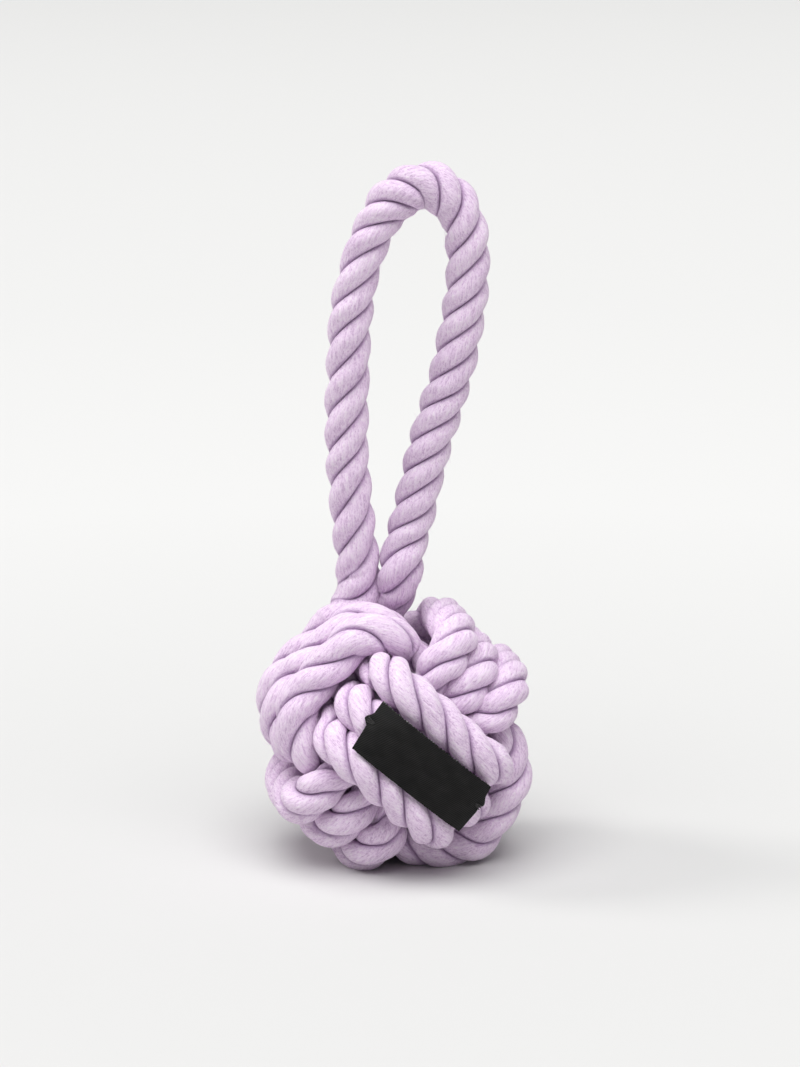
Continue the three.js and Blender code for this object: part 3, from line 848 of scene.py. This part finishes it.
def new_piece(name, shape, material, coordinate="rope_at"):
    mesh = bpy.data.meshes.new(name)
    points = (np.array(shape.points) + BALL) / 1000
    mesh.from_pydata(points.tolist(), [], shape.faces)
    smooth_faces = np.ones(len(shape.faces), bool)
    smooth_faces[shape.flat] = False
    mesh.polygons.foreach_set("use_smooth", smooth_faces)
    where = mesh.attributes.new(coordinate, "FLOAT_VECTOR", "POINT")
    where.data.foreach_set("vector", np.array(shape.coordinates, np.float32).ravel())
    groove = mesh.attributes.new("groove", "FLOAT", "POINT")
    groove.data.foreach_set("value", np.array(shape.groove, np.float32))
    mesh.materials.append(material)
    mesh.update()
    made = bpy.data.objects.new(name, mesh)
    bpy.context.collection.objects.link(made)
    return made


# The legs' rope: the dome band, the loop and the end inside the ball

legs = Rope(*legs_line(), LEGS_START, LEGS_SEED, LEG_ROUND)
high = np.nonzero(legs.middle[:, 2] > SEAM_HEIGHT)[0]
left_seam, right_seam = int(high[0]), int(high[-1])
loop_piece = legs.piece("rope_loop", left_seam, right_seam)
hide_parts("neck_left", "neck_right", "loop_left_leg", "loop_top_bend", "loop_right_leg")
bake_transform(loop_piece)

dome_piece = legs.piece("rope_dome", 0, left_seam)
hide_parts("dome_band")
tail_piece = legs.piece("rope_tail", right_seam, len(legs.along) - 1)
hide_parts("loop_tail")
for piece in (dome_piece, tail_piece):
    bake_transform(piece)

# The other two bands
for name, node_name, band, band_lay, start, seed in (
    ("rope_front", "front_band", FRONT, BALL_LAY, FRONT_START, FRONT_SEED),
    ("rope_side", "side_band", SIDE, SIDE_LAY, SIDE_START, SIDE_SEED),
):
    rope = Rope(*band_line(band, band_lay), start, seed, BALL_ROUND)
    piece = rope.piece(name, 0, len(rope.along) - 1)
    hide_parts(node_name)
    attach(piece, "ball")


# The label on the front band's middle turn, tacked down at both ends

def label_line():
    """The crest of that turn from upper left down to the right, and its outward directions."""
    outward, inward = np.array([p for p in turn_outline() if p[0] > PASS_REACH]).T
    middle, _ = band_points(FRONT, np.zeros(len(outward)), outward, inward)
    out = unit(np.cross(np.gradient(middle, axis=0), AXIS_B))
    return middle + out * (ROPE / 2 * CREST + LABEL_LIFT), out


LABEL_CREST, LABEL_OUT = label_line()
CREST_AT = lengths(LABEL_CREST)
CREST_AT = CREST_AT - CREST_AT[-1] / 2


def on_crest(along, columns):
    return np.column_stack([np.interp(along, CREST_AT, columns[:, i]) for i in range(3)])


def label_points(u, v, height):
    """Points of the label from u along it, v across it and a height above the rope's crest."""
    skewed = u + LABEL_SLIDE - LABEL_SKEW * v
    place, out = on_crest(skewed, LABEL_CREST), unit(on_crest(skewed, LABEL_OUT))
    droop = LABEL_DROOP * (v / (LABEL_WIDTH / 2)) ** 2
    end = LABEL_LENGTH / 2 - np.abs(u)
    tack = np.hypot(end - TACK_INSET, v - TACK_AT)
    dent = DENT * np.exp(-((tack / DENT_WIDTH) ** 2))
    pull = dent - RIM * np.exp(-(((tack - RIM_AT) / DENT_WIDTH) ** 2))
    size, rate, start = EDGE_RIPPLE
    ripple = size * np.sin(u * rate + start) * (v / EDGE_RIPPLE_AT) ** 2
    size, rate, rate_across = CLOTH_RIPPLE
    ripple = ripple + size * np.sin(u * rate + v * rate_across)
    lift = height - droop - pull + ripple
    return place + lift[:, None] * out + (v + LABEL_TURN * u)[:, None] * AXIS_B


def label_tab(v, low, peak, high, reach):
    """How far a label's end stands out where its tack has pulled it out of line."""
    return reach * np.where(v > peak, 1 - smooth(peak, high, v), smooth(low, peak, v))


def label_piece():
    own = random.Random(5)
    columns, rows = LABEL_COLUMNS, LABEL_ROWS
    u = np.linspace(-0.5, 0.5, columns + 1)
    teeth_top = np.array([own.uniform(-TOP_TEETH, TOP_TEETH) for _ in u])
    teeth_low = np.array([own.uniform(-LOW_TEETH, LOW_TEETH) for _ in u])
    v = np.linspace(-0.5, 0.5, rows + 1)
    uu, vv = np.meshgrid(u, v, indexing="ij")
    teeth = np.where(vv > 0, teeth_top[:, None], teeth_low[:, None])
    across = vv * LABEL_WIDTH + teeth * smooth(*TEETH_SPAN, np.abs(vv))
    left = label_tab(across, *LEFT_TAB) * smooth(*LEFT_TAB_SPAN, uu)
    right = label_tab(across, *RIGHT_TAB) * smooth(*RIGHT_TAB_SPAN, uu)
    along = uu * LABEL_LENGTH - left + right
    shape = Shape()
    u, v = along.ravel(), across.ravel()
    cloth = np.column_stack([u, v, np.zeros(len(u))])
    grid = ring_faces(columns + 1, rows + 1, closed=False)
    shape.add(label_points(u, v, np.full(len(u), LABEL_THICK)), [f[::-1] for f in grid], cloth)
    shape.add(label_points(u, v, np.zeros(len(u))), grid, cloth)
    wide = rows + 1
    border = list(range(wide))
    border += [i * wide + rows for i in range(1, columns + 1)]
    border += [columns * wide + j for j in range(rows - 1, -1, -1)]
    border += [i * wide for i in range(columns - 1, 0, -1)]
    under = len(u)
    shape.add_flat([(a, b, b + under, a + under) for a, b in zip(border, border[1:] + border[:1])])
    return new_piece("label_cloth", shape, LABEL_LOOK, "cloth_at")


def edge_fibres(count=46, inset=0.4, reach=34, crowding=1.7, root=0.15):
    """Short pale fibres along the upper edge, most of them near its left end."""
    own = random.Random(9)
    shape = Shape()
    share = np.linspace(0, 1, 4)
    for _ in range(count):
        u = -LABEL_LENGTH / 2 + inset + reach * own.random() ** crowding
        size = own.uniform(0.3, 0.9)
        lean = own.uniform(-0.9, 0.9)
        along = u + lean * size * share
        across = LABEL_WIDTH / 2 - root + size * 0.55 * share
        height = LABEL_THICK * own.uniform(0.4, 1.0) + 0.25 * share * own.random()
        spine = label_points(along, across, height)
        points, faces = tube(spine, own.uniform(0.04, 0.07) * (1 - 0.5 * share), 5)
        shape.add(points, faces, np.column_stack([points @ AXIS_A, points @ AXIS_B, points @ AXIS_C]))
    return new_piece("label_fibres", shape, PALE_THREAD)


def stitch_piece(name, end, inset=0.4, reach=1.5, spacing=0.5, rise=0.2):
    """Three turns of black thread over a label's end, from the cloth on to the rope."""
    shape = Shape()
    share = np.linspace(-1, 1, STITCH_POINTS)
    around = np.arange(STITCH_SIDES) * STITCH_RADIUS
    for k in range(STITCH_TURNS):
        inside = LABEL_LENGTH / 2 - inset + share * (reach + 0.15 * k)
        across = TACK_AT + (k - 1) * spacing + 0.3 * share * (k - 1)
        height = LABEL_THICK + rise - 1.0 * smooth(0.55, 1.0, np.abs(share))
        height = height - 0.35 * smooth(0.3, 0.8, share)
        spine = label_points(end * inside, across, height)
        points, faces = tube(spine, np.full(len(spine), STITCH_RADIUS), STITCH_SIDES)
        along = np.repeat(share * 2, STITCH_SIDES)
        at = np.column_stack([along, np.tile(around, STITCH_POINTS), np.full(len(points), k)])
        shape.add(points, faces, at)
    return new_piece(name, shape, BLACK_THREAD)


label = label_piece()
fibres = edge_fibres()
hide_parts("label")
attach(label, "ball")
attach(fibres, "ball")
for name, node_name, end in (
    ("stitch_upper_thread", "stitch_upper", -1),
    ("stitch_lower_thread", "stitch_lower", 1),
):
    piece = stitch_piece(name, end)
    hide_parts(node_name)
    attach(piece, "ball")


# Inside the ball: the core of cotton wadding and the whipping on the rope's end

def core_piece(rings=36, sides=60, lump=0.025):
    polar = np.pi * (np.arange(rings) + 0.5) / rings
    turn = 2 * np.pi * np.arange(sides) / sides
    polar, turn = (grid.ravel() for grid in np.meshgrid(polar, turn, indexing="ij"))
    out = np.column_stack([np.sin(polar) * np.cos(turn), np.sin(polar) * np.sin(turn), np.cos(polar)])
    lumps = np.sin(out @ (7.1, 3.3, 2.2)) * np.sin(out @ (-2.4, 6.8, 3.9) + 1.1)
    lumps = lumps * np.sin(out @ (3.0, -2.7, 8.3) + 0.4)
    points = out * (CORE_RADIUS * (1 - lump + lump * lumps))[:, None]
    faces = [face[::-1] for face in ring_faces(rings, sides)]
    faces.append(tuple(range(sides)))
    faces.append(tuple(range((rings - 1) * sides, rings * sides))[::-1])
    shape = Shape()
    shape.add(points, faces, points)
    return new_piece("core_wadding", shape, CORE_LOOK)


def whipping_piece(inset=0.4, points_per_turn=24, side_step=0.27):
    end, before = legs.middle[-1], legs.middle[-8]
    axis = unit(before - end)
    side = unit(np.cross(axis, [1.0, 0.2, 0.1]))
    other = np.cross(axis, side)
    thread = WHIPPING_RADIUS
    turns = WHIPPING_LENGTH / (2 * thread)
    angle = np.linspace(0, 2 * np.pi * turns, int(turns * points_per_turn))[:, None]
    radius = WHIPPED / 2 * CREST + thread
    rise = inset + thread + (WHIPPING_LENGTH - 2 * thread) * angle / angle[-1]
    spine = end + axis * rise + radius * (side * np.cos(angle) + other * np.sin(angle))
    points, faces = tube(spine, np.full(len(spine), thread), WHIPPING_SIDES)
    along = np.repeat(lengths(spine), WHIPPING_SIDES)
    around = np.tile(np.arange(WHIPPING_SIDES) * side_step, len(spine))
    shape = Shape()
    shape.add(points, faces, np.column_stack([along, around, np.zeros(len(points))]))
    return new_piece("whipping_thread", shape, PALE_THREAD)


for piece, node_name, slot in (
    (core_piece(), "core", "core"),
    (whipping_piece(), "tail_whipping", "thread"),
):
    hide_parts(node_name)
    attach(piece, "ball")
